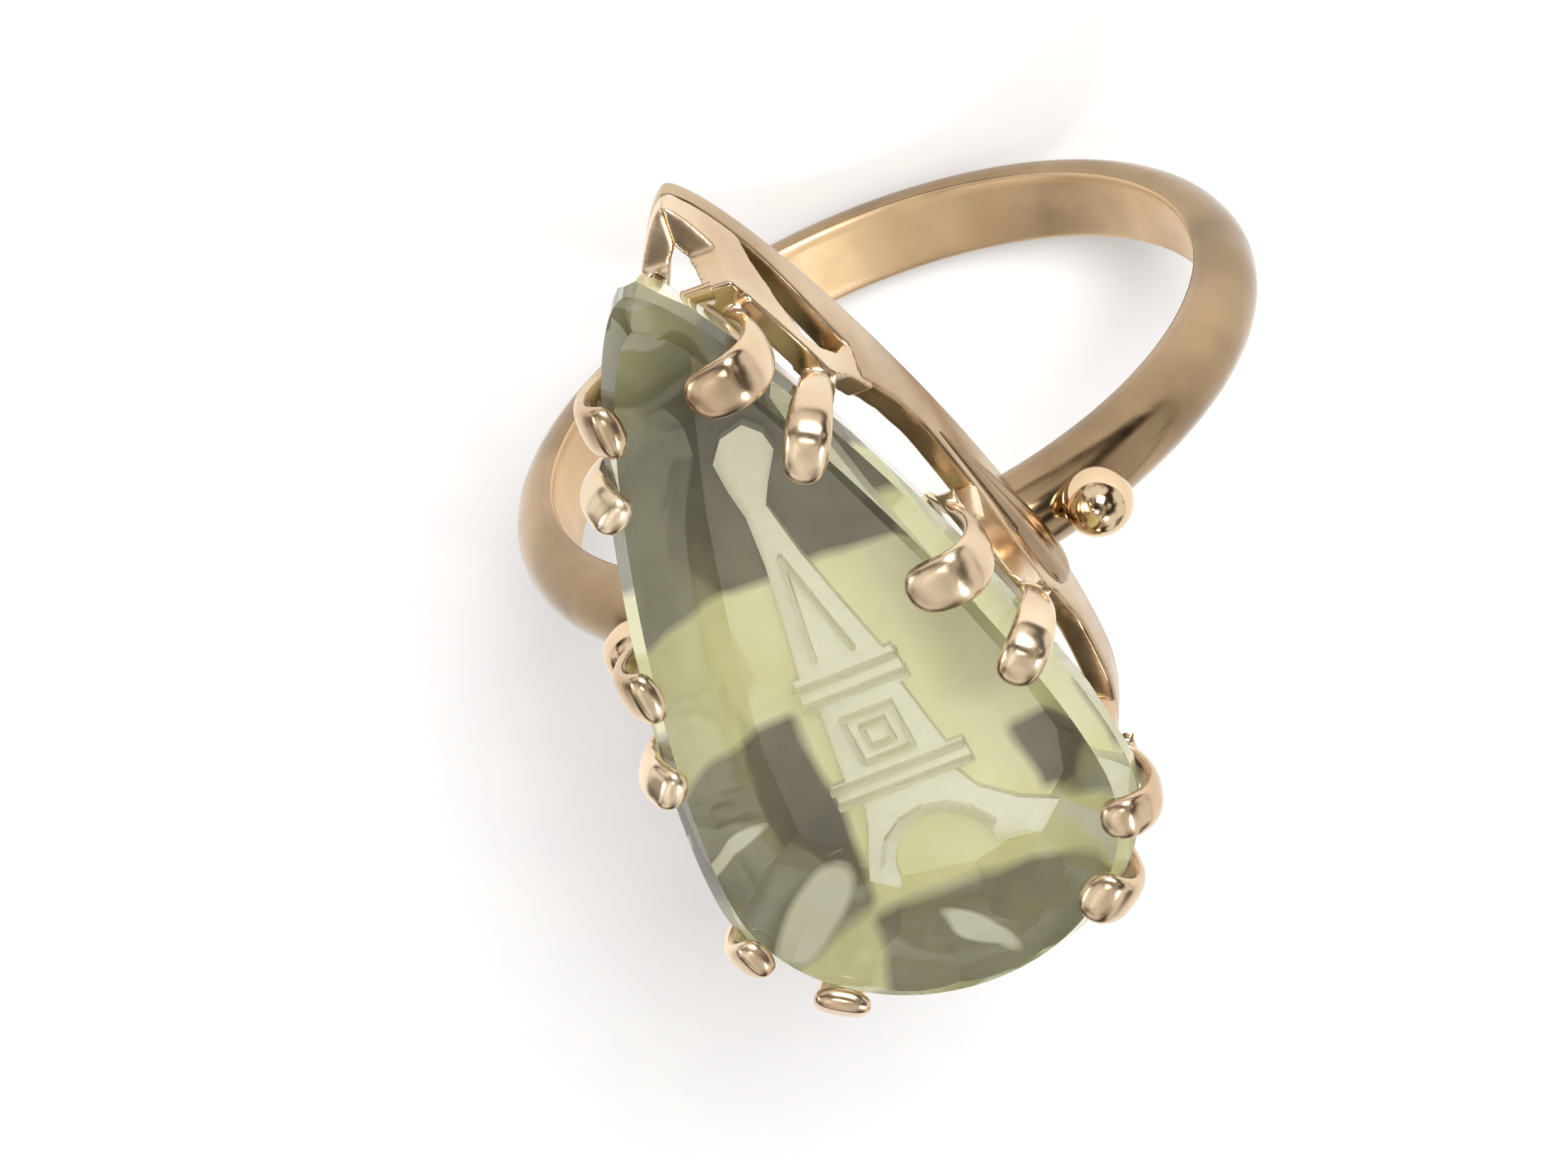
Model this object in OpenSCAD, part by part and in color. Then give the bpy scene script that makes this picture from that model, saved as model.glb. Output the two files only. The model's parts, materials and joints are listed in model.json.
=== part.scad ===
// Cocktail ring with a pear-shaped carved stone in a pierced gallery.
// Millimetres. The origin is the centre of the finger hole, the finger runs along Y,
// +Z goes up through the stone and the stone's narrow end points to +Y.

/* [Finger hole and shank] */
// Diameter of the finger hole
finger_d = 17.4; // [17:0.1:18]
// Width of the shank along the finger
shank_w = 2.05; // [1.8:0.05:2.4]
// Thickness of the shank at its crown
shank_t = 1.3; // [1.2:0.05:1.4]
// Half of the angle left open under the head
shank_gap = 22; // [21:1:24]

/* [Stone] */
// Distance from the finger axis to the narrow end
stone_tip = 12.15; // [12.05:0.05:12.25]
// Distance from the finger axis to the round end
stone_end = 8.15; // [8.05:0.05:8.25]
// Half of the stone's greatest width
stone_half_w = 5.35; // [5.25:0.05:5.4]
// Height of the flat back above the finger axis
back_z = 10.5; // [10.4:0.1:10.8]
// Height of the girdle's middle above the finger axis
girdle_z = 14.8; // [14.7:0.05:14.9]
// Thickness of the girdle
girdle_t = 0.5; // [0.3:0.1:0.6]
// Height of the table above the girdle
crown_h = 0.6; // [0.5:0.1:0.7]
// Depth of the carving in the back
carve_depth = 0.35; // [0.2:0.05:0.6]
// How far the stone and its claws sit turned in the gallery, in degrees
stone_turn = 3.4; // [0:0.1:4]

/* [Gallery] */
// Distance from the finger axis to the gallery's pointed end
rail_tip = 12.3; // [12.2:0.05:12.4]
// Distance from the finger axis to the gallery's round end
rail_end = 8.25; // [8.2:0.05:8.4]
// Half of the gallery's greatest width
rail_half_w = 4.85; // [4.8:0.05:4.9]
// Thickness of the gallery wall
wall_t = 0.66; // [0.6:0.02:0.75]
// Height of the base rail's upper edge beside the shank, above the finger axis
rail_top = 11; // [10.9:0.05:11.1]
// Diameter of the bar across the pointed end
cross_bar_d = 0.46; // [0.4:0.02:0.6]

/* [Claws] */
// Width of the wider claw of each pair
claw_w = 1.4; // [1.1:0.05:1.5]
// Width of the narrower claw of each pair
claw_w_small = 1.1; // [0.9:0.05:1.2]
// How far a right claw reaches over the stone
claw_reach = 1.5; // [1.2:0.1:1.7]
// How far a left claw or a claw at the round end reaches over the stone
claw_reach_short = 0.9; // [0.8:0.1:1.2]

/* [Shoulders] */
// Diameter of the shoulder beads
bead_d = 1.75; // [1.5:0.05:1.9]
// Thickness of the shoulder tongues
tongue_t = 0.7; // [0.5:0.05:0.8]

/* [Hidden] */

finger_r = finger_d / 2;
shank_r = finger_r + shank_t;
dome_r = 1.08;                     // radius of the shank's rounded outside
girdle_low = girdle_z - girdle_t / 2;
girdle_high = girdle_z + girdle_t / 2;
table_z = girdle_high + crown_h;
bead_r = bead_d / 2;
bead_at = [6.04, 0, 8.87];         // on the shank's outside, against the gallery
shape_mid = -1.5;                  // the point along Y that the stone tapers towards
side_steps = 18;                   // straight steps along each long side
round_steps = 14;                  // straight steps along each half of the round end
far = 30;                          // long enough to pass through everything

gold = "#c99b6e";
stone_colour = "#b9bb7c";

// ---- Outlines ----

function bezier(a, b, c, d, t) =
    pow(1 - t, 3) * a + 3 * pow(1 - t, 2) * t * b + 3 * (1 - t) * t * t * c + t * t * t * d;

// Right half of a pear outline, from its point round to the middle of its round end.
function half_pear(tip, lead, half_w, side_lead, wide, end) = concat(
    [for (i = [0 : side_steps])
        bezier([0, tip], lead, [half_w, side_lead], [half_w, wide], i / side_steps)],
    [for (i = [1 : round_steps])
        let (a = 90 * i / round_steps)
        [half_w * cos(a), wide - (end + wide) * sin(a)]]
);

function mirrored(half) = concat(half, [for (i = [len(half) - 2 : -1 : 1]) [-half[i].x, half[i].y]]);

stone_outline = mirrored(half_pear(stone_tip, [1.6, stone_tip - 0.2], stone_half_w, 1.05, -3.65, stone_end));
rail_outline = mirrored(half_pear(rail_tip, [1.35, rail_tip - 0.55], rail_half_w, 2.5, -3.6, rail_end));
rail_inner = mirrored(half_pear(
    rail_tip - wall_t - 0.3, [0.9, rail_tip - 1.7], rail_half_w - wall_t, 2.5, -3.6, rail_end - wall_t));
tongue_outline = mirrored(half_pear(
    rail_tip, [1.35 + tongue_t, rail_tip - 0.55], rail_half_w + tongue_t, 2.5, -3.6, rail_end));

// The ring-shaped gallery wall as a solid band of full height.
module wall_band(low, high) {
    translate([0, 0, low])
        linear_extrude(high - low)
            difference() {
                polygon(rail_outline);
                polygon(rail_inner);
            }
}

// Extrudes a side view, given as [y, z] points, through the part along +X after a turn about Z.
module side_view(points, turn = 0) {
    rotate([0, 0, turn])
        rotate([90, 0, 90])
            linear_extrude(far)
                polygon(points);
}

// The cylinder round the finger that the head is filed to sit on.
module saddle(r) {
    rotate([90, 0, 0])
        cylinder(h = 2 * far, r = r, center = true, $fn = 180);
}

// ---- Shank and shoulders ----

module shank_section() {
    intersection() {
        translate([finger_r, -shank_w / 2])
            square([shank_t, shank_w]);
        union() {
            translate([shank_r - dome_r, 0])
                circle(r = dome_r, $fn = 64);
            translate([finger_r - 1, -shank_w])
                square([shank_t - dome_r + 1, 2 * shank_w]);
        }
    }
}

module shank() {
    color(gold)
        difference() {
            rotate([90, 0, 0])
                rotate([0, 0, 90 + shank_gap])
                    rotate_extrude(angle = 360 - 2 * shank_gap, $fn = 180)
                        shank_section();
            for (side = [-1, 1])
                translate([side * bead_at.x, bead_at.y, bead_at.z])
                    sphere(r = bead_r, $fn = 48);
        }
}

module shoulder_bead() {
    translate(bead_at)
        sphere(r = bead_r, $fn = 48);
}

module right_shoulder_bead() { color(gold) shoulder_bead(); }
module left_shoulder_bead() { color(gold) mirror([1, 0, 0]) shoulder_bead(); }

// A leaf that lies along the base rail and ends in a rounded lobe over the shank.
tongue_view = [
    [4.2, 10.8], [2.4, 10.95], [0.9, 10.9], [-0.4, 10.6], [-1.1, 10.2], [-1.35, 9.7],
    [-1.2, 9.1], [-0.7, 8.5], [1.1, 8.4], [1.9, 9.2], [2.9, 10.5]
];

module shoulder_tongue() {
    difference() {
        intersection() {
            translate([0, 0, 8])
                linear_extrude(4)
                    difference() {
                        polygon(tongue_outline);
                        polygon(rail_outline);
                    }
            side_view(tongue_view);
        }
        saddle(shank_r);
        shoulder_bead();
    }
}

module right_shoulder_tongue() { color(gold) shoulder_tongue(); }
module left_shoulder_tongue() { color(gold) mirror([1, 0, 0]) shoulder_tongue(); }

// ---- Gallery ----

// Side view of the base rail: low under the pierced slot near the point and at the round end.
rail_view = [
    [14, 8], [14, 10.6], [10.8, 10.65], [7.1, 11.05], [6.7, 11.95], [6.2, 11.5], [5.4, rail_top + 0.15],
    [4.5, rail_top - 0.05], [3, rail_top], [1, rail_top + 0.2], [-0.3, rail_top + 0.2],
    [-1.1, rail_top - 0.4], [-2.3, rail_top - 0.8], [-4, rail_top - 0.8], [-5.5, rail_top - 0.5],
    [-10, rail_top - 0.5], [-10, 8]
];

module rail_sides() {
    side_view(rail_view);
    mirror([1, 0, 0])
        side_view(rail_view);
}

module gallery_base_rail() {
    color(gold)
        difference() {
            intersection() {
                wall_band(8, 12.5);
                rail_sides();
            }
            saddle(shank_r);
        }
}

module tip_cross_bar() {
    color(gold)
        intersection() {
            translate([0, 10.5, 12.75])
                rotate([0, 90, 0])
                    cylinder(h = 4, d = cross_bar_d, center = true, $fn = 32);
            translate([0, 0, 10])
                linear_extrude(5)
                    polygon(rail_inner);
        }
}

// Profile of a claw: a leg outside the girdle, a seat under it and a nose over the table.
// x = 0 is the edge of the girdle and +x points away from the stone.
function claw_profile(reach) = [
    [-1.3, 12.9], [-0.05, 12.9], [0.36, 14.2], [0.42, 14.9], [0.4, 15.45], [0.25, 15.8],
    [0, 16.03], [-0.35, 16.14], [-reach + 0.35, 16.12], [-reach + 0.1, 16], [-reach, 15.85],
    [-reach + 0.1, table_z + 0.02], [-0.47, table_z + 0.02], [0.02, girdle_high + 0.02],
    [0.02, girdle_low - 0.02], [-1.3, girdle_low - 0.95]
];

// A claw of width w whose leg stands at the point at and whose nose points along turn.
module claw(at, turn, w, reach) {
    translate([at.x, at.y, 0])
        rotate([0, 0, turn + 180])
            intersection() {
                rotate([90, 0, 0])
                    linear_extrude(w, center = true)
                        polygon(claw_profile(reach));
                union() {
                    translate([w / 2 - reach, 0, 12])
                        cylinder(h = 5, d = w, $fn = 40);
                    translate([w / 2 - reach, -w / 2, 12])
                        cube([reach + 1, w, 5]);
                }
            }
}

// Side view of the post next to the point, with the strut that runs down to the point.
tip_post_view = [
    [6.3, 11.5], [7.2, 10.9], [7.5, 11.9], [8, 12.35], [8.5, 12.6], [9.3, 12.1], [10.2, 11.3],
    [10.7, 10.5], [13, 10.5], [13, 11.3], [12.1, 11.4], [11.1, 11.9], [10.6, 13], [10.1, 12.9],
    [9.7, 13.2], [9.6, 14], [7, 14], [7.6, 13.5], [7.5, 12.9], [7, 12.3], [6.3, 11.9]
];

// Side view of the post beside the shank, forked for its two claws.
side_post_view = [
    [-0.6, 10.5], [2.9, 10.5], [2.3, 12], [2.7, 12.9], [3.5, 14], [-0.6, 14], [-0.1, 12.9], [0, 12]
];

// Side view of the post on the round end, seen along its own direction.
round_post_view = [
    [-1.6, 10], [1.6, 10], [1, 12], [1.25, 12.9], [1.75, 14], [-1.75, 14], [-1.25, 12.9], [-1, 12]
];
round_post_turn = -31;             // direction of that post from +X
seat_cut = girdle_low - 0.85;      // the wall stops here, under the girdle

// The part of the gallery wall inside a side view, standing on the base rail.
module post_wall(points, turn = 0, pivot = [0, 0, 0]) {
    difference() {
        intersection() {
            wall_band(9.5, seat_cut);
            translate(pivot)
                side_view(points, turn);
        }
        rail_sides();
    }
}

// Mirrors a right-hand shape to the left when side is -1.
module on_side(side) {
    mirror([side < 0 ? 1 : 0, 0, 0])
        children();
}

// Joins a wall to its claws, which follow the stone's turn, and cuts the stone's seat out of both.
module claw_post(side) {
    color(gold)
        difference() {
            union() {
                on_side(side)
                    children(0);
                rotate([0, 0, stone_turn])
                    on_side(side)
                        children(1);
            }
            stone_body();
        }
}

module tip_claw_post(side, reach) {
    claw_post(side) {
        post_wall(tip_post_view);
        union() {
            claw([1.86, 9.55], 186, claw_w, reach);
            claw([2.64, 7.7], 238, claw_w_small, reach);
        }
    }
}

module side_claw_post(side, reach) {
    claw_post(side) {
        post_wall(side_post_view);
        union() {
            claw([4.25, 2.75], 182, claw_w, reach);
            claw([4.82, 0.4], 222, claw_w_small, reach);
        }
    }
}

module round_claw_post(side) {
    claw_post(side) {
        post_wall(round_post_view, round_post_turn, [0, -3.4, 0]);
        union() {
            claw([5.14, -4.9], 166, claw_w_small, claw_reach_short);
            claw([3.64, -6.95], 126, claw_w, claw_reach_short);
        }
    }
}

module right_tip_claw_post() { tip_claw_post(1, claw_reach); }
module left_tip_claw_post() { tip_claw_post(-1, claw_reach_short); }
module right_side_claw_post() { side_claw_post(1, claw_reach); }
module left_side_claw_post() { side_claw_post(-1, claw_reach_short); }
module right_round_claw_post() { round_claw_post(1); }
module left_round_claw_post() { round_claw_post(-1); }

// ---- Stone ----

// Each level of the stone as [height, scale across, scale along].
stone_levels = [
    [back_z, 0.62, 0.74], [13.3, 0.80, 0.85], [girdle_low, 1, 1],
    [girdle_high, 1, 1], [table_z, 0.91, 0.955]
];

function level_points(level) = [
    for (p = stone_outline)
        [p.x * level[1], shape_mid + (p.y - shape_mid) * level[2], level[0]]
];

// The uncarved stone, turned in its setting.
module stone_body() {
    n = len(stone_outline);
    top = (len(stone_levels) - 1) * n;
    points = [for (level = stone_levels) each level_points(level)];
    sides = [for (k = [0 : len(stone_levels) - 2], i = [0 : n - 1])
        let (j = (i + 1) % n)
        [k * n + i, k * n + j, (k + 1) * n + j, (k + 1) * n + i]];
    back = [for (i = [n - 1 : -1 : 0]) i];
    table = [for (i = [0 : n - 1]) top + i];
    rotate([0, 0, stone_turn])
        polyhedron(points = points, faces = concat(sides, [back, table]), convexity = 4);
}

// A plain lantern tower, drawn as flat shapes: lantern, spire, two decks and spread legs.
module tower_shape() {
    polygon([[-0.3, 4.6], [0.3, 4.6], [0.75, 5.6], [0.75, 6.2], [0, 7.2], [-0.75, 6.2], [-0.75, 5.6]]);
    polygon([[-0.3, 4.6], [0.3, 4.6], [0.6, 2.2], [1, -0.1], [-1, -0.1], [-0.6, 2.2]]);
    for (y = [-0.6, -3.3])
        translate([-1.4, y])
            square([2.8, 0.5]);
    difference() {
        polygon([[-1.1, -0.6], [1.1, -0.6], [1.25, -2.8], [-1.25, -2.8]]);
        translate([-0.45, -2.2])
            square([0.9, 1]);
    }
    difference() {
        polygon([[-1.3, -3.3], [1.3, -3.3], [1.9, -4.6], [2.7, -5.9], [-2.7, -5.9], [-1.9, -4.6]]);
        translate([0, -5.9])
            circle(r = 1.1, $fn = 40);
    }
}

module stone() {
    color(stone_colour)
        difference() {
            stone_body();
            translate([0, 0, back_z - 1])
                linear_extrude(1 + carve_depth)
                    rotate([0, 0, stone_turn])
                        tower_shape();
        }
}

shank();
right_shoulder_tongue();
left_shoulder_tongue();
right_shoulder_bead();
left_shoulder_bead();
gallery_base_rail();
tip_cross_bar();
right_tip_claw_post();
left_tip_claw_post();
right_side_claw_post();
left_side_claw_post();
right_round_claw_post();
left_round_claw_post();
stone();
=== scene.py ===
"""Cocktail ring: polished rose-gold pieces and a carved pear-shaped stone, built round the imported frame."""
import json
import math

import bmesh
import bpy
from mathutils import Matrix, Vector


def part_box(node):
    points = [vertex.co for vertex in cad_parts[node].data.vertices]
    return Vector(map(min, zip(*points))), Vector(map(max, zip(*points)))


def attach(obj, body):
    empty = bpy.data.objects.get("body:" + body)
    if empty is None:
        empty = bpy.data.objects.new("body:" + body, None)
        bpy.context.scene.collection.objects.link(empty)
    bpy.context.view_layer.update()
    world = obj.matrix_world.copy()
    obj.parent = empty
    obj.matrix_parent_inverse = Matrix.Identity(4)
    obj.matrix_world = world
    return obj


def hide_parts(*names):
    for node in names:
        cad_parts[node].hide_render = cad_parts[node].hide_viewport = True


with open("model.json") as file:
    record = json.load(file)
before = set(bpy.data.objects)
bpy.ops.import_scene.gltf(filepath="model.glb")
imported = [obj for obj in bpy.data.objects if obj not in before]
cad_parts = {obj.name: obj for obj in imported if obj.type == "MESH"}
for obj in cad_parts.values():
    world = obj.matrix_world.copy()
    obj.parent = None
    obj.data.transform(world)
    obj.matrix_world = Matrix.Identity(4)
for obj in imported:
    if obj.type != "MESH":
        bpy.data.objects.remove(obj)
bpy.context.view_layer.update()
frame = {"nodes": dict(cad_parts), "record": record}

MM = 0.001                        # meshes are worked out in millimetres and scaled to metres at the end


# ---- Sizes in millimetres, part read from the frame and part given ----

def node_box(node):
    low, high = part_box(node)
    return low / MM, high / MM


FINGER_R = frame["record"]["mounts"][0]["dims"]["r_mm"]
SHANK_LOW, SHANK_HIGH = node_box("shank")
SHANK_R = SHANK_HIGH.x
SHANK_HALF_W = SHANK_HIGH.y
SHANK_OPEN = math.radians(22)     # half of the angle left open under the head
STONE_LOW, STONE_HIGH = node_box("stone")
RAIL_LOW, RAIL_HIGH = node_box("gallery_base_rail")
BEAD_LOW, BEAD_HIGH = node_box("right_shoulder_bead")
BAR_LOW, BAR_HIGH = node_box("tip_cross_bar")

BACK_Z = STONE_LOW.z
TABLE_Z = STONE_HIGH.z
GIRDLE_HIGH = TABLE_Z - 0.6       # the crown is 0.6 high
GIRDLE_LOW = GIRDLE_HIGH - 0.5    # the girdle is 0.5 thick
STONE_TIP = 12.15                 # from the finger axis to the stone's narrow end
STONE_END = 8.15                  # from the finger axis to the stone's round end
STONE_HALF_W = 5.35
STONE_WIDE = -3.65                # where along Y the stone is widest
STONE_MID = -1.5                  # the place along Y that the bevel tapers towards
TOWER_X = -0.4                    # how far the carving sits off the stone's middle
STONE_TURN = 3.4                  # how far the stone and its claws sit turned in the gallery, in degrees
WALL_T = 0.66                     # thickness of the gallery wall
RAIL_WIDE = -3.6                  # where along Y the gallery is widest


# ---- Mesh helpers ----

def finish_mesh(name, bm, materials, smooth_angle=None):
    """Turns a bmesh in millimetres into an object in metres."""
    bmesh.ops.recalc_face_normals(bm, faces=bm.faces)
    bmesh.ops.scale(bm, vec=(MM, MM, MM), verts=bm.verts)
    mesh = bpy.data.meshes.new(name)
    bm.to_mesh(mesh)
    bm.free()
    for material in materials:
        mesh.materials.append(material)
    mesh.polygons.foreach_set("use_smooth", [True] * len(mesh.polygons))
    if smooth_angle is not None:
        mesh.set_sharp_from_angle(angle=math.radians(smooth_angle))
    piece = bpy.data.objects.new(name, mesh)
    bpy.context.scene.collection.objects.link(piece)
    return piece


def skin(bm, rings, closed_path=False, caps=True):
    """Joins rings of points, each a closed loop of the same length, into one surface."""
    rows = [[bm.verts.new(p) for p in ring] for ring in rings]
    count = len(rows[0])
    steps = len(rows) if closed_path else len(rows) - 1
    for i in range(steps):
        a, b = rows[i], rows[(i + 1) % len(rows)]
        for k in range(count):
            j = (k + 1) % count
            bm.faces.new((a[k], a[j], b[j], b[k]))
    if caps and not closed_path:
        bm.faces.new(rows[0])
        bm.faces.new(rows[-1])


def mirror_mesh(bm):
    bmesh.ops.scale(bm, vec=(-1, 1, 1), verts=bm.verts)
    bmesh.ops.reverse_faces(bm, faces=bm.faces)


def bezier(a, b, c, d, t):
    return (1 - t) ** 3 * a + 3 * (1 - t) ** 2 * t * b + 3 * (1 - t) * t * t * c + t ** 3 * d


def blend_table(table, at):
    """Reads a list of (position, value) pairs, smoothly between its rows."""
    if at <= table[0][0]:
        return table[0][1]
    for (x0, v0), (x1, v1) in zip(table, table[1:]):
        if at <= x1:
            t = (at - x0) / (x1 - x0)
            t = t * t * (3 - 2 * t)
            return v0 + (v1 - v0) * t
    return table[-1][1]


def pear(tip, lead, half_w, side_lead, wide, end, side_steps=70, round_steps=36):
    """A closed pear outline that starts at its point and runs round by +X."""
    points = [Vector((0, tip)), Vector(lead), Vector((half_w, side_lead)), Vector((half_w, wide))]
    right = [bezier(*points, i / side_steps) for i in range(side_steps + 1)]
    for i in range(1, round_steps + 1):
        a = math.pi / 2 * i / round_steps
        right.append(Vector((half_w * math.cos(a), wide - (end + wide) * math.sin(a))))
    left = [Vector((-p.x, p.y)) for p in right[-2:0:-1]]
    return right + left


def outline_normals(outline):
    """Outward normals of a clockwise outline."""
    count = len(outline)
    normals = []
    for i in range(count):
        along = outline[(i + 1) % count] - outline[i - 1]
        normals.append(Vector((-along.y, along.x)).normalized())
    return normals


STONE_OUTLINE = pear(STONE_TIP, (1.6, STONE_TIP - 0.2), STONE_HALF_W, 1.05, STONE_WIDE, STONE_END)
RAIL_OUTLINE = pear(RAIL_HIGH.y, (1.35, RAIL_HIGH.y - 0.55), RAIL_HIGH.x, 2.5, RAIL_WIDE, -RAIL_LOW.y)


def soften_tip(outline, reach=0.5, rounds=4):
    """Rounds the sharp point of an outline, as its solder and polish do."""
    tip = outline[0].y
    for _ in range(rounds):
        old = [p.copy() for p in outline]
        for i, p in enumerate(old):
            if tip - p.y < reach:
                outline[i] = p * 0.5 + (old[i - 1] + old[(i + 1) % len(old)]) * 0.25
    return outline


def side_x(outline, y):
    """Half width of an outline at a place along Y, on its long side."""
    for a, b in zip(outline, outline[1:]):
        if b.y <= y <= a.y:
            return a.x + (b.x - a.x) * (a.y - y) / max(a.y - b.y, 1e-9)
    return 0.0


def turn_with_stone(bm):
    bmesh.ops.rotate(bm, verts=bm.verts, matrix=Matrix.Rotation(math.radians(STONE_TURN), 3, "Z"))


# ---- Materials ----

def new_material(name):
    material = bpy.data.materials.new(name)
    material.use_nodes = True
    nodes = material.node_tree.nodes
    nodes.clear()
    output = nodes.new("ShaderNodeOutputMaterial")
    shader = nodes.new("ShaderNodeBsdfPrincipled")
    material.node_tree.links.new(shader.outputs["BSDF"], output.inputs["Surface"])
    return material, nodes, material.node_tree.links, shader


def noise_node(nodes, links, coords, scale, detail=4.0, rough=0.5, stretch=(1, 1, 1)):
    mapping = nodes.new("ShaderNodeMapping")
    mapping.inputs["Scale"].default_value = stretch
    links.new(coords, mapping.inputs["Vector"])
    texture = nodes.new("ShaderNodeTexNoise")
    texture.inputs["Scale"].default_value = scale
    texture.inputs["Detail"].default_value = detail
    texture.inputs["Roughness"].default_value = rough
    links.new(mapping.outputs["Vector"], texture.inputs["Vector"])
    return texture.outputs["Fac"]


def ramp_node(nodes, links, source, stops):
    ramp = nodes.new("ShaderNodeValToRGB")
    while len(ramp.color_ramp.elements) < len(stops):
        ramp.color_ramp.elements.new(0.5)
    for element, (place, colour) in zip(ramp.color_ramp.elements, stops):
        element.position = place
        element.color = (*colour, 1)
    links.new(source, ramp.inputs["Fac"])
    return ramp.outputs["Color"]


def range_node(nodes, links, source, low, high, to_low, to_high):
    remap = nodes.new("ShaderNodeMapRange")
    remap.inputs["From Min"].default_value = low
    remap.inputs["From Max"].default_value = high
    remap.inputs["To Min"].default_value = to_low
    remap.inputs["To Max"].default_value = to_high
    links.new(source, remap.inputs["Value"])
    return remap.outputs["Result"]


def rose_gold(name, warm, pale, rough, dents):
    """Rose gold from its two colours, its least and most roughness and the strength of its soft dents."""
    material, nodes, links, shader = new_material(name)
    coords = nodes.new("ShaderNodeTexCoord").outputs["Object"]
    drift = noise_node(nodes, links, coords, 260, 3)
    links.new(ramp_node(nodes, links, drift, [(0.35, warm), (0.65, pale)]), shader.inputs["Base Color"])
    shader.inputs["Metallic"].default_value = 1.0
    shader.inputs["IOR"].default_value = 1.45
    wear = noise_node(nodes, links, coords, 900, 6, 0.6)
    links.new(range_node(nodes, links, wear, 0.35, 0.7, *rough), shader.inputs["Roughness"])
    scratches = noise_node(nodes, links, coords, 1500, 8, 0.7, (1, 6, 1))
    fine = nodes.new("ShaderNodeBump")
    fine.inputs["Strength"].default_value = 0.08
    fine.inputs["Distance"].default_value = 0.00002
    links.new(scratches, fine.inputs["Height"])
    soft = nodes.new("ShaderNodeBump")
    soft.inputs["Strength"].default_value = dents
    soft.inputs["Distance"].default_value = 0.0001
    links.new(noise_node(nodes, links, coords, 420, 2), soft.inputs["Height"])
    links.new(fine.outputs["Normal"], soft.inputs["Normal"])
    links.new(soft.outputs["Normal"], shader.inputs["Normal"])
    return material


# Painted shade: these copies of one rose gold differ in base colour. The shank's outside, the gallery and the
# tongues are darkened below the bore, claws and beads as painted shade and dark reflections.
GOLD_SHANK = rose_gold("rose_gold_shank", (0.26, 0.18, 0.10), (0.44, 0.31, 0.18), (0.11, 0.24), 0.5)
GOLD_BORE = rose_gold("rose_gold_bore", (0.62, 0.44, 0.26), (0.78, 0.58, 0.36), (0.38, 0.52), 0.3)
GOLD_GALLERY = rose_gold("rose_gold_gallery", (0.45, 0.325, 0.20), (0.66, 0.505, 0.335), (0.18, 0.32), 0.35)
GOLD_CLAW = rose_gold("rose_gold_claws", (0.60, 0.44, 0.28), (0.90, 0.74, 0.53), (0.16, 0.30), 0.5)
GOLD_TONGUE = rose_gold("rose_gold_tongues", (0.28, 0.19, 0.11), (0.42, 0.31, 0.20), (0.16, 0.30), 0.4)
GOLD_BEAD = rose_gold("rose_gold_beads", (0.66, 0.48, 0.29), (0.80, 0.62, 0.41), (0.05, 0.12), 0.2)


def clear_gem():
    """The polished crown: clear yellow-green quartz with faint rubbed marks."""
    material, nodes, links, shader = new_material("gem_clear")
    coords = nodes.new("ShaderNodeTexCoord").outputs["Object"]
    tint = noise_node(nodes, links, coords, 180, 2)
    links.new(ramp_node(nodes, links, tint, [(0.3, (0.97, 0.97, 0.86)), (0.7, (0.99, 0.99, 0.91))]),
              shader.inputs["Base Color"])
    shader.inputs["IOR"].default_value = 1.544
    shader.inputs["Transmission Weight"].default_value = 1.0
    rubbed = noise_node(nodes, links, coords, 1200, 5, 0.6)
    links.new(range_node(nodes, links, rubbed, 0.5, 0.8, 0.0, 0.05), shader.inputs["Roughness"])
    return material


def frosted_gem():
    """The cut faces of the carving: ground quartz, pale and matt."""
    material, nodes, links, shader = new_material("gem_frosted")
    coords = nodes.new("ShaderNodeTexCoord").outputs["Object"]
    grain = noise_node(nodes, links, coords, 2600, 6, 0.7)
    links.new(ramp_node(nodes, links, grain, [(0.3, (0.90, 0.90, 0.68)), (0.7, (0.98, 0.98, 0.78))]),
              shader.inputs["Base Color"])
    shader.inputs["Roughness"].default_value = 0.65
    shader.inputs["Transmission Weight"].default_value = 0.5
    bump = nodes.new("ShaderNodeBump")
    bump.inputs["Strength"].default_value = 0.4
    bump.inputs["Distance"].default_value = 0.00003
    links.new(grain, bump.inputs["Height"])
    links.new(bump.outputs["Normal"], shader.inputs["Normal"])
    return material


def side_mask(nodes, links, source, edge, sign, soft):
    """1 on one side of a place along an axis, 0 on the other, in millimetres."""
    low, high = (edge - soft * sign) * MM, (edge + soft * sign) * MM
    return range_node(nodes, links, source, low, high, 0, 1)


def math_node(nodes, links, operation, a, b):
    node = nodes.new("ShaderNodeMath")
    node.operation = operation
    links.new(a, node.inputs[0])
    links.new(b, node.inputs[1])
    return node.outputs["Value"]


def mix_node(nodes, links, factor, a, b):
    mix = nodes.new("ShaderNodeMix")
    mix.data_type = "RGBA"
    links.new(factor, mix.inputs["Factor"])
    links.new(a, mix.inputs["A"])
    links.new(b, mix.inputs["B"])
    return mix.outputs["Result"]


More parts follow.
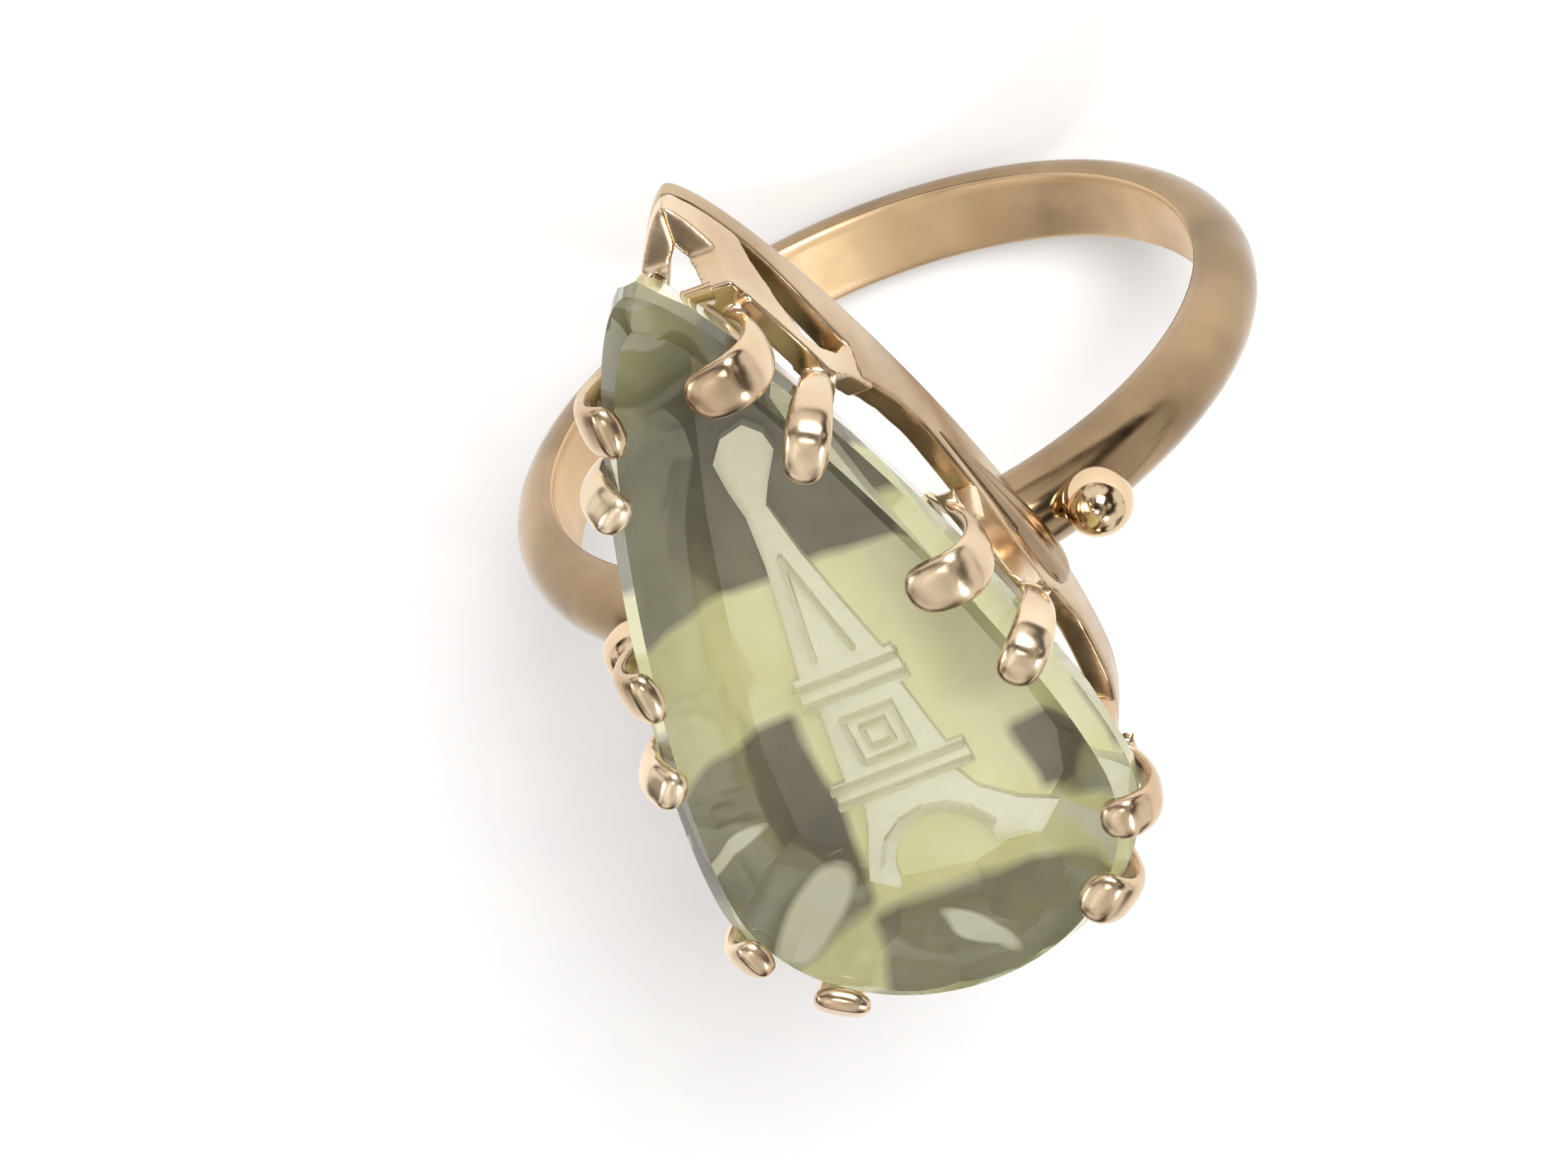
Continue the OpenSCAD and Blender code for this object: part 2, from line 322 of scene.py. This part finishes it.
# Parts of the stone's back painted dark as painted shade and dark reflections seen through the table:
# how dark each is, and its limits as (axis, place, side, softness).
PAINTED_SHADE_ZONES = [
    (1, [("Y", 2.85, 1, 0.15), ("Y", 9.6, -1, 2.2)]),
    (1, [("X", -2.1, -1, 0.15), ("Y", -0.9, -1, 0.15), ("Y", -6.3, 1, 0.15)]),
    (1, [("X", -2.2, 1, 0.15), ("Y", -6.4, -1, 0.15)]),
    (1, [("X", 2.7, 1, 0.15), ("Y", -2.9, -1, 0.15), ("Y", -5.0, 1, 0.15)]),
    (0.3, [("X", 1.7, 1, 0.6), ("Y", -2.0, 1, 0.4)])
]


# Small painted highlights in the stone's back, each as (x, y, half length, half width, turn in degrees).
PAINTED_GLINTS = [(-3.4, -5.7, 1.0, 0.6, 17), (-4.6, -3.2, 0.8, 0.25, -10), (0.2, -7.4, 0.95, 0.25, -35),
          (-1.15, 10.4, 0.7, 0.22, -57), (3.9, -5.9, 1.2, 0.32, -42)]


# An oval mask for one painted highlight.
def painted_glint_mask(nodes, links, coords, glint):
    x, y, long, short, turn = glint
    mapping = nodes.new("ShaderNodeMapping")
    mapping.vector_type = "TEXTURE"
    mapping.inputs["Location"].default_value = (x * MM, y * MM, 0)
    mapping.inputs["Rotation"].default_value = (0, 0, math.radians(turn))
    mapping.inputs["Scale"].default_value = (long * MM, short * MM, 1)
    links.new(coords, mapping.inputs["Vector"])
    length = nodes.new("ShaderNodeVectorMath")
    length.operation = "LENGTH"
    links.new(mapping.outputs["Vector"], length.inputs[0])
    return range_node(nodes, links, length.outputs["Value"], 1.1, 0.8, 0, 1)


def back_gem():
    """The faceted back: part clear, part filled with painted shade and dark reflections, painted lit
    yellow-green reflections and painted highlights.
    """
    material, nodes, links, shader = new_material("gem_back")
    coords = nodes.new("ShaderNodeTexCoord").outputs["Object"]
    wander = nodes.new("ShaderNodeVectorMath")
    wander.operation = "MULTIPLY_ADD"
    uneven = noise_node(nodes, links, coords, 380, 1)
    links.new(range_node(nodes, links, uneven, 0.35, 0.65, -0.12 * MM, 0.12 * MM), wander.inputs[0])
    wander.inputs[1].default_value = (1, 1, 0)
    links.new(coords, wander.inputs[2])
    uneven_coords = wander.outputs["Vector"]
    split = nodes.new("ShaderNodeSeparateXYZ")
    links.new(uneven_coords, split.inputs["Vector"])
    # Painted shade: where the back's colour is darkened to stand in for shade and dark reflections.
    painted_shade_mask = None
    for share, limits in PAINTED_SHADE_ZONES:
        mask = None
        for axis, edge, sign, soft in limits:
            part = side_mask(nodes, links, split.outputs[axis], edge, sign, soft)
            mask = part if mask is None else math_node(nodes, links, "MULTIPLY", mask, part)
        mask = range_node(nodes, links, mask, 0, 1, 0, share)
        painted_shade_mask = mask if painted_shade_mask is None else math_node(nodes, links, "MAXIMUM", painted_shade_mask, mask)
    cloud = noise_node(nodes, links, coords, 330, 3)
    # Painted light and shade: a lit yellow-green reflection colour and a dark shade colour.
    lit = ramp_node(nodes, links, cloud, [(0.35, (0.90, 0.89, 0.46)), (0.65, (1.0, 0.99, 0.62))])
    painted_shade_colour = ramp_node(nodes, links, cloud, [(0.35, (0.105, 0.09, 0.05)), (0.65, (0.20, 0.175, 0.105))])
    colour = mix_node(nodes, links, painted_shade_mask, lit, painted_shade_colour)
    # Painted highlights: near-white patches painted into the back's colour.
    painted_highlight_colour = ramp_node(nodes, links, cloud, [(0.35, (1.0, 0.97, 0.80)), (0.65, (1.0, 1.0, 0.95))])
    for glint in PAINTED_GLINTS:
        colour = mix_node(nodes, links, painted_glint_mask(nodes, links, uneven_coords, glint), colour, painted_highlight_colour)
    links.new(colour, shader.inputs["Base Color"])
    rubbed = noise_node(nodes, links, coords, 1200, 5, 0.6)
    links.new(range_node(nodes, links, rubbed, 0.5, 0.8, 0.03, 0.12), shader.inputs["Roughness"])
    shader.inputs["IOR"].default_value = 1.544
    shader.inputs["Transmission Weight"].default_value = 0.22
    return material


GEM_CLEAR = clear_gem()
GEM_BACK = back_gem()
GEM_FROSTED = frosted_gem()


# ---- Shank and beads ----

SHANK_SWELL = 0.22                # how much thicker the shank gets where it meets the head
SWELL_SPREAD = 0.45               # how far that thickening runs, in radians
BORE_SLOT = 1                     # the satin inside face's material slot


def shank_section(swell):
    """The D-shaped section as (radius, y) points: flat inside, rounded edges, domed outside."""
    dome_r = 1.08
    edge = 0.14
    outer = SHANK_R + swell
    section = []
    for i in range(9):
        section.append((FINGER_R, SHANK_HALF_W * (-1 + 2 * i / 8) * (1 - edge)))
    section.append((FINGER_R + edge * 0.4, SHANK_HALF_W * 0.97))
    section.append((FINGER_R + edge, SHANK_HALF_W))
    spread = math.asin(SHANK_HALF_W / dome_r)
    for i in range(21):
        a = spread * (1 - i / 10)
        section.append((outer - dome_r + dome_r * math.cos(a), dome_r * math.sin(a)))
    section.append((FINGER_R + edge, -SHANK_HALF_W))
    section.append((FINGER_R + edge * 0.4, -SHANK_HALF_W * 0.97))
    return section


def make_shank():
    bm = bmesh.new()
    rings = []
    steps = 220
    for i in range(steps + 1):
        a = SHANK_OPEN + (2 * math.pi - 2 * SHANK_OPEN) * i / steps
        from_end = min(a, 2 * math.pi - a) - SHANK_OPEN
        swell = SHANK_SWELL * math.exp(-(from_end / SWELL_SPREAD) ** 2)
        rings.append([(r * math.sin(a), y, r * math.cos(a)) for r, y in shank_section(swell)])
    skin(bm, rings)
    for face in bm.faces:
        middle = face.calc_center_median()
        face.material_index = BORE_SLOT if math.hypot(middle.x, middle.z) < FINGER_R + 0.03 else 0
    return finish_mesh("ring_shank", bm, [GOLD_SHANK, GOLD_BORE], 50)


def make_bead(side):
    """A ball with a small soldered foot, turned about the line from the finger axis."""
    centre = (BEAD_LOW + BEAD_HIGH) / 2
    radius = (BEAD_HIGH.y - BEAD_LOW.y) / 2
    up = Vector((centre.x, 0, centre.z)).normalized()
    across = Vector((0, 1, 0))
    third = up.cross(across)
    profile = [(radius * 0.62, -radius * 1.02), (radius * 0.60, -radius * 0.92)]
    start = math.radians(-56)
    for i in range(29):
        a = start + (math.radians(89) - start) * i / 28
        profile.append((radius * math.cos(a), radius * math.sin(a)))
    turns = 40
    rings = []
    for r, h in profile:
        ring = []
        for k in range(turns):
            t = 2 * math.pi * k / turns
            ring.append(centre + up * h + (across * math.cos(t) + third * math.sin(t)) * r)
        rings.append(ring)
    bm = bmesh.new()
    skin(bm, rings)
    if side < 0:
        mirror_mesh(bm)
    return finish_mesh(("left" if side < 0 else "right") + "_bead", bm, [GOLD_BEAD], 60)


# ---- Gallery ----

def saddle_z(x):
    """Height of the shank's outside at a place along X, where the rail's lower edge sits."""
    return math.sqrt(max(SHANK_R ** 2 - x * x, 0))


# Height of the rail's upper edge along Y.
RAIL_TOP = [(-8.7, 10.5), (-5.5, 10.5), (-4, 10.2), (-2.3, 10.2), (-1.1, 10.6), (-0.3, 11.2), (1, 11.2),
            (3, 11.0), (4.5, 10.95), (5.4, 11.15), (6.2, 11.5), (6.7, 11.95), (7.1, 11.05), (10.8, 10.65)]


def rounded_section(inner, outer, low_in, low_out, high, edge=0.13):
    """An upright strip's section, from 2D points on the ground plane, with rounded corners."""
    across = outer - inner
    thick = across.length
    across = across / thick
    corners = [(0, low_in, 1, 1), (thick, low_out, -1, 1), (thick, high, -1, -1), (0, high, 1, -1)]
    starts = [180, 270, 0, 90]
    ring = []
    for (d, z, in_d, in_z), start in zip(corners, starts):
        for k in range(4):
            a = math.radians(start + 30 * k)
            dd = d + in_d * edge + edge * math.cos(a)
            zz = z + in_z * edge + edge * math.sin(a)
            p = inner + across * dd
            ring.append((p.x, p.y, zz))
    return ring


def make_rail():
    outline = soften_tip([p.copy() for p in RAIL_OUTLINE])
    normals = outline_normals(outline)
    rings = []
    for p, n in zip(outline, normals):
        inner = p - n * WALL_T
        if p.x >= 0:
            inner.x = max(inner.x, 0.0)
        else:
            inner.x = min(inner.x, 0.0)
        top = blend_table(RAIL_TOP, p.y)
        rings.append(rounded_section(inner, p, saddle_z(inner.x), saddle_z(p.x), top))
    bm = bmesh.new()
    skin(bm, rings, closed_path=True)
    return finish_mesh("gallery_rail", bm, [GOLD_GALLERY], 60)


def make_cross_bar():
    """A short round bar whose ends flare into the walls."""
    centre = (BAR_LOW + BAR_HIGH) / 2
    half = (BAR_HIGH.x - BAR_LOW.x) / 2
    radius = (BAR_HIGH.z - BAR_LOW.z) / 2
    rings = []
    steps = 24
    for i in range(steps + 1):
        s = -1 + 2 * i / steps
        r = radius * (0.86 + 0.14 * abs(s) ** 4)
        rings.append([(s * half, centre.y + r * math.cos(t), centre.z + r * math.sin(t))
                      for t in [2 * math.pi * k / 24 for k in range(24)]])
    bm = bmesh.new()
    skin(bm, rings)
    return finish_mesh("tip_bar", bm, [GOLD_CLAW], 60)


def make_tongue(side):
    """A creased leaf that lies on the rail's outside and ends in a rounded lobe."""
    bm = bmesh.new()
    rows = 40
    across = 18
    lift = 0.45
    front = []
    for i in range(rows + 1):
        s = 0.01 + 0.985 * i / rows
        y = 4.1 - 5.4 * s
        mid = 10.65 - 0.95 * s ** 1.15
        half = 1.15 * s ** 0.9 * math.sqrt(1 - s ** 5)
        step = 0.02
        x = side_x(RAIL_OUTLINE, y)
        along = Vector((side_x(RAIL_OUTLINE, y - step) - x, -step)).normalized()
        out = Vector((-along.y, along.x))
        if out.x < 0:
            out = -out
        row = []
        for k in range(across + 1):
            v = -1 + 2 * k / across
            crease = 0.12 * math.exp(-((v - 0.25) / 0.18) ** 2)
            height = lift * min(1, half) * (1 - abs(v) ** 2.6) - crease * half
            height = max(height, 0) + 0.02
            ring_point = Vector((x, y)) + out * height
            row.append(Vector((ring_point.x, ring_point.y, mid + half * v)))
        back = [Vector((x - 0.2 * out.x, y - 0.2 * out.y, mid + half * v)) for v in (0.9, -0.9)]
        front.append(row + back)
    skin(bm, front)
    if side < 0:
        mirror_mesh(bm)
    return finish_mesh(("left" if side < 0 else "right") + "_tongue", bm, [GOLD_TONGUE], 60)


# A claw's leg as (distance outside the girdle, height above the girdle's top, share of the claw's
# width, thickness), and its nose with the distance as a share of the claw's reach over the stone.
CLAW_LEG = [
    (-1.15, -3.3, 0.45, 0.50), (-0.75, -2.6, 0.50, 0.50), (-0.40, -2.0, 0.56, 0.52), (0.02, -1.3, 0.66, 0.52),
    (0.29, -0.5, 0.80, 0.50), (0.33, 0.1, 0.88, 0.48), (0.20, 0.52, 0.95, 0.47), (-0.08, 0.80, 1.0, 0.46)
]
CLAW_NOSE = [
    (-0.30, 0.87, 1.0, 0.46), (-0.56, 0.86, 0.98, 0.46), (-0.77, 0.83, 0.86, 0.42), (-0.90, 0.79, 0.62, 0.36),
    (-0.98, 0.76, 0.30, 0.24)
]


def claw_mesh(bm, at, turn, width, reach):
    """One bent claw: a rounded strip swept along its middle line."""
    direction = Vector((math.cos(math.radians(turn)), math.sin(math.radians(turn)), 0))
    outward = -direction
    sideways = Vector((-direction.y, direction.x, 0))
    foot = Vector((at[0], at[1], GIRDLE_HIGH))
    path = CLAW_LEG + [(d * reach, h, w, t) for d, h, w, t in CLAW_NOSE]
    places = [foot + outward * d + Vector((0, 0, h)) for d, h, _, _ in path]
    dense = []
    steps = 4
    for i in range(len(path) - 1):
        p0 = places[max(i - 1, 0)]
        p1, p2 = places[i], places[i + 1]
        p3 = places[min(i + 2, len(places) - 1)]
        for k in range(steps):
            t = k / steps
            p = 0.5 * (2 * p1 + (p2 - p0) * t + (2 * p0 - 5 * p1 + 4 * p2 - p3) * t * t
                       + (3 * p1 - p0 - 3 * p2 + p3) * t ** 3)
            share = path[i][2] * (1 - t) + path[i + 1][2] * t
            thick = path[i][3] * (1 - t) + path[i + 1][3] * t
            dense.append((p, share * width, thick))
    dense.append((places[-1], path[-1][2] * width, path[-1][3]))
    rings = []
    for i, (p, wide, thick) in enumerate(dense):
        ahead = dense[min(i + 1, len(dense) - 1)][0]
        behind = dense[max(i - 1, 0)][0]
        normal = sideways.cross((ahead - behind).normalized())
        ring = []
        for k in range(20):
            a = 2 * math.pi * k / 20
            c, s = math.cos(a), math.sin(a)
            u = abs(c) ** 0.75 * math.copysign(1, c) * wide / 2
            v = abs(s) ** 0.9 * math.copysign(1, s) * thick / 2
            ring.append(p + sideways * u + normal * v)
        rings.append(ring)
    skin(bm, rings)


# Each claw as its foot, the direction of its nose, its width, its reach on the right and on the left.
CLAWS = {
    "tip_claw_post": [((1.86, 9.55), 186, 1.45, 1.5, 0.6), ((2.64, 7.7), 238, 1.15, 1.5, 0.6)],
    "side_claw_post": [((4.25, 2.75), 182, 1.45, 1.5, 0.6), ((4.82, 0.4), 222, 1.15, 1.2, 0.6)],
    "round_claw_post": [((5.14, -4.9), 166, 1.15, 0.9, 0.6), ((3.64, -6.95), 126, 1.45, 0.9, 0.5)],
}
POST_VOXEL = 0.055                # millimetres
WALL_CUT_Z = GIRDLE_LOW - 1.6     # the posts' walls end here, and the claws' legs carry on
SEAT_CLEARANCE = (1.02, 1.015, 1.025)


def post_wall(node):
    """The CAD node's wall, cut off below the stone's seat."""
    bm = bmesh.new()
    bm.from_mesh(frame["nodes"][node].data)
    bmesh.ops.scale(bm, vec=(1 / MM, 1 / MM, 1 / MM), verts=bm.verts)
    bmesh.ops.remove_doubles(bm, verts=bm.verts, dist=1e-4)
    geometry = bm.verts[:] + bm.edges[:] + bm.faces[:]
    cut = bmesh.ops.bisect_plane(bm, geom=geometry, plane_co=(0, 0, WALL_CUT_Z), plane_no=(0, 0, 1),
                                 clear_outer=True)
    edges = [e for e in cut["geom_cut"] if isinstance(e, bmesh.types.BMEdge)]
    bmesh.ops.holes_fill(bm, edges=edges)
    return bm


def make_post(node, kind, side, cutter):
    """A post's wall and its claws, turned with the stone, cut to its seat and smoothed like a casting."""
    claws = bmesh.new()
    for at, turn, width, reach_right, reach_left in CLAWS[kind]:
        if side > 0:
            claw_mesh(claws, at, turn, width, reach_right)
        else:
            claw_mesh(claws, (-at[0], at[1]), 180 - turn, width, reach_left)
    turn_with_stone(claws)
    bmesh.ops.recalc_face_normals(claws, faces=claws.faces)
    mesh = bpy.data.meshes.new(node + "_cast")
    claws.to_mesh(mesh)
    claws.free()
    bm = post_wall(node)
    bm.from_mesh(mesh)
    bm.to_mesh(mesh)
    bm.free()
    scratch = bpy.data.objects.new(node + "_cast", mesh)
    bpy.context.scene.collection.objects.link(scratch)
    seat = scratch.modifiers.new("seat", "BOOLEAN")
    seat.operation = "DIFFERENCE"
    seat.solver = "EXACT"
    seat.use_self = True
    seat.object = cutter
    remesh = scratch.modifiers.new("fuse", "REMESH")
    remesh.mode = "VOXEL"
    remesh.voxel_size = POST_VOXEL
    smooth = scratch.modifiers.new("polish", "SMOOTH")
    smooth.factor = 0.5
    smooth.iterations = 12
    graph = bpy.context.evaluated_depsgraph_get()
    fused = bmesh.new()
    fused.from_mesh(bpy.data.meshes.new_from_object(scratch.evaluated_get(graph), depsgraph=graph))
    bpy.data.objects.remove(scratch)
    return finish_mesh(node.replace("claw_post", "claws"), fused, [GOLD_CLAW])


# ---- Stone ----

def pavilion_planes():
    """Facet planes of the stone's underside as (point, outward normal): two tiers round the outline."""
    normals = outline_normals(STONE_OUTLINE)
    count = len(STONE_OUTLINE)
    tiers = [(22, 0.0, 70, GIRDLE_LOW - 0.06, 0.0), (18, 0.5, 60, 12.6, 0.72)]
    for number, shift, slope, height, inset in tiers:
        a = math.radians(slope)
        for i in range(number):
            k = int((i + shift) * count / number) % count
            p, n = STONE_OUTLINE[k], normals[k]
            q = p - n * inset
            yield Vector((q.x, q.y, height)), Vector((n.x * math.sin(a), n.y * math.sin(a), -math.cos(a)))


def prism(bm, points, low, high):
    """A closed upright prism over a convex or simple outline."""
    bottom = [bm.verts.new((x, y, low)) for x, y in points]
    top = [bm.verts.new((x, y, high)) for x, y in points]
    count = len(points)
    for i in range(count):
        j = (i + 1) % count
        bm.faces.new((bottom[i], bottom[j], top[j], top[i]))
    bm.faces.new(bottom)
    bm.faces.new(top)


def mirrored(points):
    """A shape from its right half, given from its top down."""
    return points + [(-x, y) for x, y in points[::-1] if abs(x) > 1e-6]


def bar(a, b, width):
    """A thin straight groove between two points."""
    a, b = Vector(a), Vector(b)
    along = (b - a).normalized() * 0.5 * width
    side = Vector((-along.y, along.x))
    return [tuple(p) for p in (a + side - along, b + side + along, b - side + along, a - side - along)]


def tower_shapes():
    """A plain lantern tower as (outline, depth of cut) pairs: lantern, spire, two decks, spread legs."""
    flat, raised, groove = 0.35, 0.50, 0.75
    arch = [(1.3 * math.cos(a), -5.9 + 1.35 * math.sin(a)) for a in [math.pi * k / 16 for k in range(1, 16)]]
    legs = [(1.2, -3.6), (1.5, -4.3), (2.3, -5.0), (4.3, -6.0), (3.6, -6.3), (1.3, -5.9)] + arch
    legs += [(-1.3, -5.9), (-1.5, -6.3), (-2.3, -6.3), (-1.75, -5.0), (-1.4, -4.3), (-1.2, -3.6)]
    shapes = [
        ([(0.75, 7.0), (1.1, 6.6), (1.15, 6.1), (0.6, 5.3), (0.28, 4.75), (-0.28, 4.75), (-0.35, 5.5),
          (-0.35, 6.3), (0.1, 6.85)], raised),
        (mirrored([(0.28, 4.85), (0.46, 3.3), (0.78, 1.6), (1.1, 0.1)]), flat),
        (mirrored([(1.3, 0.12), (1.35, -0.9)]), flat),
        (mirrored([(1.05, -0.85), (1.35, -2.95)]), flat),
        (mirrored([(1.75, -2.9), (1.75, -3.65)]), flat),
        (legs, flat),
        (bar((0, 3.4), (0.5, 0.5), 0.10), groove), (bar((0, 3.4), (-0.5, 0.5), 0.10), groove),
        (bar((-1.3, -0.1), (1.3, -0.1), 0.12), groove), (bar((-1.3, -0.6), (1.3, -0.6), 0.12), groove),
        (bar((-1.7, -3.0), (1.7, -3.0), 0.12), groove), (bar((-1.7, -3.45), (1.7, -3.45), 0.12), groove)
    ]
    for half in (0.65, 0.3):
        corners = [(-half, -1.9 - half), (half, -1.9 - half), (half, -1.9 + half), (-half, -1.9 + half)]
        shapes += [(bar(a, b, 0.10), groove) for a, b in zip(corners, corners[1:] + corners[:1])]
    rim = [(1.6 * math.cos(a), -5.9 + 1.65 * math.sin(a)) for a in [math.pi * k / 8 for k in range(1, 8)]]
    shapes += [(bar(a, b, 0.10), groove) for a, b in zip(rim, rim[1:])]
    return [([(x + TOWER_X, y) for x, y in outline], depth) for outline, depth in shapes]


def stone_shape():
    """The uncarved stone: table, bevel, girdle and faceted underside."""
    bm = bmesh.new()
    rings = [[(p.x, p.y, z) for p in STONE_OUTLINE] for z in (BACK_Z, GIRDLE_HIGH)]
    rings.append([(p.x * 0.91, STONE_MID + (p.y - STONE_MID) * 0.955, TABLE_Z) for p in STONE_OUTLINE])
    skin(bm, rings)
    for point, normal in pavilion_planes():
        geometry = bm.verts[:] + bm.edges[:] + bm.faces[:]
        cut = bmesh.ops.bisect_plane(bm, geom=geometry, dist=1e-5, plane_co=point, plane_no=normal,
                                     clear_outer=True)
        edges = [e for e in cut["geom_cut"] if isinstance(e, bmesh.types.BMEdge)]
        if edges:
            bmesh.ops.edgenet_fill(bm, edges=edges)
    bmesh.ops.dissolve_degenerate(bm, dist=1e-4, edges=bm.edges)
    turn_with_stone(bm)
    bmesh.ops.recalc_face_normals(bm, faces=bm.faces)
    return bm


def make_stone():
    bm = stone_shape()
    for face in bm.faces:
        face.material_index = 1 if face.normal.z < -0.2 else 0
    body = finish_mesh("carved_stone", bm, [GEM_CLEAR, GEM_BACK, GEM_FROSTED], 12)
    cutter_mesh = bmesh.new()
    for outline, depth in tower_shapes():
        prism(cutter_mesh, outline, BACK_Z - 1, BACK_Z + depth)
    turn_with_stone(cutter_mesh)
    cutter = finish_mesh("carving", cutter_mesh, [GEM_FROSTED])
    return body, cutter


def carve(body, cutter):
    carving = body.modifiers.new("carve", "BOOLEAN")
    carving.operation = "DIFFERENCE"
    carving.solver = "EXACT"
    carving.use_self = True
    carving.material_mode = "TRANSFER"
    carving.object = cutter
    graph = bpy.context.evaluated_depsgraph_get()
    mesh = bpy.data.meshes.new_from_object(body.evaluated_get(graph), depsgraph=graph)
    body.modifiers.clear()
    body.data = mesh
    bpy.data.objects.remove(cutter)
    mesh.set_sharp_from_angle(angle=math.radians(12))
    return body


def make_seat_cutter():
    """The uncarved stone, slightly enlarged and in millimetres, which cuts the posts to the stone's seat."""
    bm = stone_shape()
    about = Matrix.Translation((0, -STONE_MID, -TABLE_Z))
    bmesh.ops.scale(bm, vec=SEAT_CLEARANCE, verts=bm.verts, space=about)
    cutter = finish_mesh("seat_cutter", bm, [])
    cutter.scale = (1 / MM, 1 / MM, 1 / MM)
    return cutter


# ---- Assembly ----

def place(piece, node, slot):
    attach(piece, "root")
    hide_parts(node)


place(make_shank(), "shank", "rose_gold")
place(make_rail(), "gallery_base_rail", "rose_gold")
place(make_cross_bar(), "tip_cross_bar", "rose_gold")
seat_cutter = make_seat_cutter()
for side, word in ((1, "right"), (-1, "left")):
    place(make_bead(side), word + "_shoulder_bead", "rose_gold")
    place(make_tongue(side), word + "_shoulder_tongue", "rose_gold")
    for kind in CLAWS:
        node = f"{word}_{kind}"
        place(make_post(node, kind, side, seat_cutter), node, "rose_gold")
bpy.data.objects.remove(seat_cutter)
stone, carving = make_stone()
place(carve(stone, carving), "stone", "gem")


# ---- Camera ----

AIM = Vector((-1.10, 2.09, 12.0)) * MM
AZIMUTH = 61.53                   # degrees from +X towards +Y
ELEVATION = 59.24
ROLL = 186.64                     # the ring is seen upside down
DISTANCE = 0.18902
LENS = 181.92


def view_axes():
    """The camera's right, up and backward directions."""
    a, e, roll = (math.radians(v) for v in (AZIMUTH, ELEVATION, ROLL))
    back = Vector((math.cos(e) * math.cos(a), math.cos(e) * math.sin(a), math.sin(e)))
    level = (-back).cross(Vector((0, 0, 1))).normalized()
    upright = level.cross(-back)
    right = level * math.cos(roll) + upright * math.sin(roll)
    return right, back.cross(right), back


def make_camera():
    data = bpy.data.cameras.new("camera")
    data.lens = LENS
    data.sensor_width = 36
    data.clip_start = 0.01
    data.clip_end = 10
    camera = bpy.data.objects.new("camera", data)
    bpy.context.scene.collection.objects.link(camera)
    right, up, back = view_axes()
    turn = Matrix((right, up, back)).transposed().to_4x4()
    camera.matrix_world = Matrix.Translation(AIM + back * DISTANCE) @ turn
    bpy.context.scene.camera = camera


# ---- Floor, light and background ----

def make_floor():
    bm = bmesh.new()
    bmesh.ops.create_grid(bm, x_segments=8, y_segments=8, size=0.6)
    mesh = bpy.data.meshes.new("floor")
    bm.to_mesh(mesh)
    bm.free()
    floor = bpy.data.objects.new("floor", mesh)
    floor.location.z = SHANK_LOW.z * MM
    bpy.context.scene.collection.objects.link(floor)
    material, nodes, links, shader = new_material("white_paper")
    coords = nodes.new("ShaderNodeTexCoord").outputs["Object"]
    grain = noise_node(nodes, links, coords, 400, 5)
    links.new(ramp_node(nodes, links, grain, [(0.3, (0.90, 0.90, 0.91)), (0.7, (0.93, 0.93, 0.93))]),
              shader.inputs["Base Color"])
    shader.inputs["Roughness"].default_value = 0.9
    mesh.materials.append(material)


def area_light(name, place_mm, size, power):
    data = bpy.data.lights.new(name, "AREA")
    data.energy = power
    data.size = size * MM
    lamp = bpy.data.objects.new(name, data)
    bpy.context.scene.collection.objects.link(lamp)
    lamp.location = Vector(place_mm) * MM
    lamp.rotation_euler = (lamp.location - AIM).to_track_quat("Z", "Y").to_euler()


def make_world():
    world = bpy.data.worlds.new("room")
    world.use_nodes = True
    nodes, links = world.node_tree.nodes, world.node_tree.links
    background = nodes["Background"]
    coords = nodes.new("ShaderNodeTexCoord").outputs["Generated"]
    patches = noise_node(nodes, links, coords, 1.7, 2)
    colour = ramp_node(nodes, links, patches, [(0.40, (0.04, 0.032, 0.028)), (0.48, (0.42, 0.37, 0.33)),
                                               (0.56, (0.95, 0.94, 0.93))])
    links.new(colour, background.inputs["Color"])
    background.inputs["Strength"].default_value = 1.0
    bpy.context.scene.world = world


make_camera()
make_floor()
make_world()
area_light("key", (163, 212, 344), 150, 1.5)
area_light("side", (-260, 40, 200), 90, 0.1)
area_light("top", (-20, -20, 400), 60, 0.08)
area_light("glint", (60, -160, 220), 38, 0.11)
area_light("card", (-98, -181, 343), 240, 0.1)
bpy.context.scene.view_settings.view_transform = "Standard"
